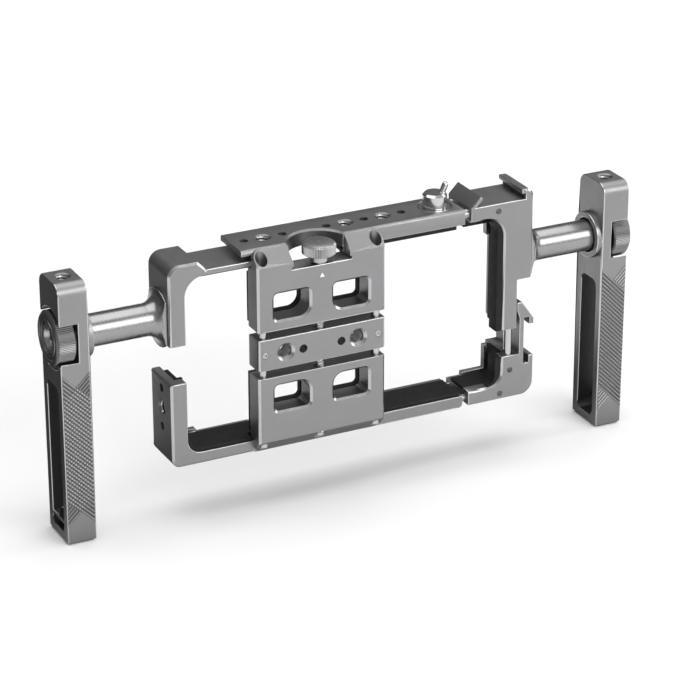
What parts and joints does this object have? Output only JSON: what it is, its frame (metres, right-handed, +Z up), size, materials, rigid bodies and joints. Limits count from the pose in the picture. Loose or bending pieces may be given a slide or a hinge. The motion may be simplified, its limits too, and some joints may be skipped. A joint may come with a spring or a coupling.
{
  "type": "phone cage",
  "caption": "Adjustable metal cage that clamps a phone, with plates moved by a thumbwheel, a sliding end, accessory shoes and two swivel grips.",
  "frame": {"origin": "under the middle of the part's box, on the plane of the grips' feet", "axes": "+X along the phone to the shoe end, +Y from the back plates to the open screen side, +Z up"},
  "size_m": [0.2328, 0.0282, 0.11],
  "materials": {
    "anodised": "bead-blasted, anodised titanium grey",
    "rail_metal": "bead-blasted, anodised dark grey",
    "wheel_metal": "knurled, anodised dark grey",
    "rod_steel": "satin",
    "screw_steel": "turned",
    "black_pad": "matte"
  },
  "bodies": {
    "frame": {"upper_plate": "anodised", "top_rail": "rail_metal", "upper_left_bracket": "anodised", "plate_guide_rods": "rod_steel", "guide_rod_screws": "screw_steel", "lock_washer": "screw_steel", "left_grip_rod": "rod_steel", "left_rod_bolt": "screw_steel", "left_friction_ring": "black_pad", "upper_left_pad": "black_pad", "top_rail_pads": "black_pad", "upper_plate_pad": "black_pad"},
    "lower_half": {"lower_plate": "anodised", "bottom_rail": "rail_metal", "lower_left_bracket": "anodised", "lower_left_pad": "black_pad", "bottom_rail_pad": "black_pad", "lower_plate_pad": "black_pad"},
    "middle": {"middle_bar": "anodised", "middle_bar_screws": "screw_steel"},
    "width_screw": {"thumbwheel": "screw_steel", "screw_collar": "screw_steel", "lead_screw": "rod_steel"},
    "right_side": {"upper_right_block": "anodised", "top_length_rods": "rod_steel", "block_set_screw": "screw_steel", "right_grip_rod": "rod_steel", "right_rod_bolt": "screw_steel", "right_friction_ring": "black_pad", "upper_right_pad": "black_pad"},
    "right_foot": {"lower_right_bracket": "anodised", "bottom_length_rods": "rod_steel", "side_guide_rod": "rod_steel", "bracket_set_screws": "screw_steel", "lower_right_pad": "black_pad"},
    "length_lock": {"lock_screw": "screw_steel", "lock_knob": "screw_steel", "lock_lever": "screw_steel"},
    "left_handle": {"left_grip": "anodised"},
    "right_handle": {"right_grip": "anodised"},
    "left_wheel": {"left_locking_wheel": "wheel_metal", "left_clamp_bolt": "screw_steel"},
    "right_wheel": {"right_locking_wheel": "wheel_metal", "right_clamp_bolt": "screw_steel"}
  },
  "joints": [
    {"name": "width_slide", "type": "slide", "parent": "frame", "child": "lower_half", "axis": [0, 0, -1], "range_m": [-0.004, 0.014]},
    {"name": "middle_slide", "type": "slide", "parent": "frame", "child": "middle", "axis": [0, 0, -1], "range_m": [-0.002, 0.007]},
    {"name": "thumbwheel_turn", "type": "hinge", "parent": "frame", "child": "width_screw", "pos_m": [-0.0164, -0.00791, 0.0985], "axis": [0, 0, 1], "range_deg": [-360.01, 1260.01]},
    {"name": "length_slide", "type": "slide", "parent": "frame", "child": "right_side", "axis": [1, 0, 0], "range_m": [-0.0022, 0.03]},
    {"name": "foot_length_slide", "type": "slide", "parent": "lower_half", "child": "right_foot", "axis": [1, 0, 0], "range_m": [-0.0022, 0.03]},
    {"name": "lock_turn", "type": "hinge", "parent": "frame", "child": "length_lock", "pos_m": [0.03675, 0.00401, 0.1011], "axis": [0, 0, 1], "range_deg": [0, 90]},
    {"name": "left_grip_turn", "type": "hinge", "parent": "frame", "child": "left_handle", "pos_m": [-0.10965, 0.00401, 0.078], "axis": [1, 0, 0], "continuous": true},
    {"name": "right_grip_turn", "type": "hinge", "parent": "right_side", "child": "right_handle", "pos_m": [0.10965, 0.00401, 0.078], "axis": [1, 0, 0], "continuous": true},
    {"name": "left_wheel_turn", "type": "hinge", "parent": "left_handle", "child": "left_wheel", "pos_m": [-0.10965, 0.00401, 0.078], "axis": [1, 0, 0], "continuous": true},
    {"name": "right_wheel_turn", "type": "hinge", "parent": "right_handle", "child": "right_wheel", "pos_m": [0.10965, 0.00401, 0.078], "axis": [1, 0, 0], "continuous": true}
  ],
  "couplings": [
    {"joint": "middle_slide", "follows": "width_slide", "ratio": 0.5},
    {"joint": "thumbwheel_turn", "follows": "width_slide", "rad_per_m": 1570.8},
    {"joint": "foot_length_slide", "follows": "length_slide", "ratio": 1}
  ]
}
